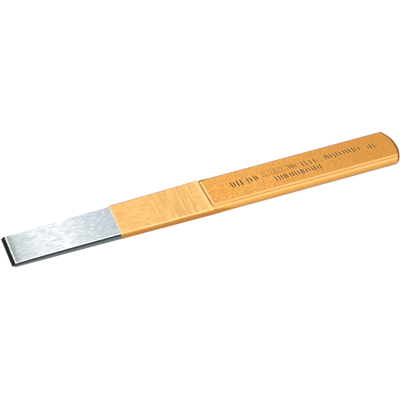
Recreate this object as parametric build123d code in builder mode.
"""Flat splitting chisel, drop forged in one piece from flat-oval steel bar.

Two solids make the tool: the steel bar, and the coat of lacquer that covers it from a line
across the ground blade to the struck head.

The tool lies flat with its underside on Z = 0. X runs along it, from the cutting edge to the
head, and the origin is under its middle. Sizes are in millimetres.
"""

import os

from build123d import *

os.makedirs("parts", exist_ok=True)

# Stations along the tool, measured from the cutting edge
length = 240.0
bevel_length = 2.2
lacquer_start = 65.4
round_side_start = 112.0
crest_station = 120.7
panel_start = 121.7
round_side_full = 138.0
underside_panel_start = 132.0
underside_panel_end = 228.0

# Widths, and how far the crest leans along the tool over the blade's width
edge_width = 22.2
crest_width = 24.0
handle_width = 26.0
panel_near_side = 10.1
panel_far_side = 11.2
panel_border = 1.0
underside_panel_width = 18.6
crest_skew = 1.4

# Heights of the steel above the plane that the coated tool lies on
tip_underside = 0.35
bevel_top = 3.6
ramp_stations = (28.0, 58.0, 90.0, 112.0)
ramp_heights = (4.3, 4.66, 5.0, 5.33)
crest_top = 5.75
shoulder_top = 5.0
panel_top = 5.5
panel_depth = 0.13
underside_panel_depth = 0.3

# Edges, head and coat
side_radius = 2.44
arris_radius = 0.3
panel_corner_radius = 1.5
head_radius = 24.5
head_ease = 0.4
coat_thickness = 0.1

# Stock that reaches past the tool, for trimming to an outline
stock_height = 12.0


def along(station):
    """X of a distance from the cutting edge."""
    return station - length / 2


def lean(y):
    """How far a line that leans like the crest is moved along X at a distance from the middle."""
    return -crest_skew * y / crest_width


def blade_solid(grow):
    """The ground blade and its concave ramp up to the crest, with its faces grow further out."""
    base = coat_thickness - grow
    edge = (along(0), (bevel_top + tip_underside) / 2)
    bevel = (along(bevel_length), bevel_top + grow)
    ramp = [(along(s), h + grow) for s, h in zip(ramp_stations, ramp_heights)]
    crest = (along(crest_station) + crest_skew, crest_top + grow)
    half_edge = edge_width / 2 + grow
    half_crest = crest_width / 2 + grow

    with BuildPart() as blade:
        # Side view, with a bevel above and below the cutting edge
        with BuildSketch(Plane.XZ):
            with BuildLine():
                Line(edge, bevel)
                Spline(bevel, *ramp, crest)
                Polyline(
                    crest,
                    (crest[0], base),
                    (along(round_side_start), base),
                    (along(bevel_length), tip_underside - grow),
                    edge,
                )
            make_face()
        extrude(amount=handle_width, both=True)
        # Plan, with sides ground to a taper and an end that leans
        with BuildSketch(Plane.XY):
            with BuildLine():
                Polyline(
                    (along(0), -half_edge),
                    (along(crest_station) + grow + lean(-half_crest), -half_crest),
                    (along(crest_station) + grow + lean(half_crest), half_crest),
                    (along(0), half_edge),
                    close=True,
                )
            make_face()
        extrude(amount=stock_height, mode=Mode.INTERSECT)
    return blade.part


def handle_solid(grow):
    """The flat-oval handle with its sunk panels and crowned head, with its faces grow further out."""
    base = coat_thickness - grow
    shoulder = shoulder_top + grow
    thickness = shoulder - base
    head_end = along(length - coat_thickness + grow)
    taper = (crest_width - edge_width) / crest_station
    start_width = edge_width + taper * round_side_start
    flat_sides = Plane(
        origin=(along(round_side_start), 0, (shoulder + base) / 2),
        x_dir=(0, 1, 0),
        z_dir=(1, 0, 0),
    )
    round_sides = flat_sides.offset(round_side_full - round_side_start)

    with BuildPart() as handle:
        # The flat sides of the blade fade into full-round ones
        with BuildSketch(flat_sides):
            RectangleRounded(start_width + 2 * grow, thickness, arris_radius)
        with BuildSketch(round_sides):
            RectangleRounded(handle_width + 2 * grow, thickness, side_radius)
        loft()
        with BuildSketch(round_sides):
            RectangleRounded(handle_width + 2 * grow, thickness, side_radius)
        extrude(amount=length - round_side_full)

        # The raised panel on the upper side runs out at the head and beside the far round side
        near_side = -panel_near_side - grow
        far_side = panel_far_side + grow
        panel_x = along(panel_start) - grow
        with BuildSketch(Plane.XY.offset(shoulder - panel_depth)):
            with BuildLine():
                Polyline(
                    (panel_x + lean(near_side), near_side),
                    (along(length), near_side),
                    (along(length), far_side),
                    (panel_x + lean(far_side), far_side),
                    close=True,
                )
            make_face()
        extrude(amount=panel_top + grow - shoulder + panel_depth)

        # Its floor is sunk behind a narrow border on the near side and beside the crest
        near_floor = -panel_near_side + panel_border + grow
        floor_x = along(panel_start) + panel_border + grow
        with BuildSketch(Plane.XY.offset(panel_top + grow - panel_depth)):
            with BuildLine():
                Polyline(
                    (floor_x + lean(near_floor), near_floor),
                    (along(length), near_floor),
                    (along(length), handle_width),
                    (floor_x + lean(handle_width), handle_width),
                    close=True,
                )
            make_face()
        extrude(amount=stock_height, mode=Mode.SUBTRACT)

        # A second panel is sunk in the underside, inside the face that the tool rests on
        panel_middle = along((underside_panel_start + underside_panel_end) / 2)
        panel_length = underside_panel_end - underside_panel_start
        with BuildSketch(Plane.XY.offset(base)):
            with Locations((panel_middle, 0)):
                RectangleRounded(
                    panel_length - 2 * grow,
                    underside_panel_width - 2 * grow,
                    panel_corner_radius,
                )
        extrude(amount=underside_panel_depth, mode=Mode.SUBTRACT)

        # The head is struck, so its end is a low crown
        half_handle = handle_width / 2 + grow
        crown_drop = head_radius - (head_radius**2 - half_handle**2) ** 0.5
        with BuildSketch(Plane.XY.offset(-stock_height / 2)):
            with BuildLine():
                ThreePointArc(
                    (head_end - crown_drop, -half_handle),
                    (head_end, 0),
                    (head_end - crown_drop, half_handle),
                )
                Polyline(
                    (head_end - crown_drop, half_handle),
                    (along(0), half_handle),
                    (along(0), -half_handle),
                    (head_end - crown_drop, -half_handle),
                )
            make_face()
        extrude(amount=2 * stock_height, mode=Mode.INTERSECT)
        chamfer(handle.faces().sort_by(Axis.X)[-1].edges(), head_ease)
    return handle.part


# The whole bar in one piece, from the cutting edge to the struck head
with BuildPart() as steel_bar:
    add(blade_solid(0))
    add(handle_solid(0))
steel_bar.part.label = "steel_bar"
export_step(steel_bar.part, "parts/steel_bar.step")

# The coat follows the bar and stops at a line across the blade
with BuildPart() as lacquer_coat:
    add(blade_solid(coat_thickness))
    add(handle_solid(coat_thickness))
    split(bisect_by=Plane.YZ.offset(along(lacquer_start)), keep=Keep.TOP)
    add(steel_bar.part, mode=Mode.SUBTRACT)
lacquer_coat.part.label = "lacquer_coat"
export_step(lacquer_coat.part, "parts/lacquer_coat.step")
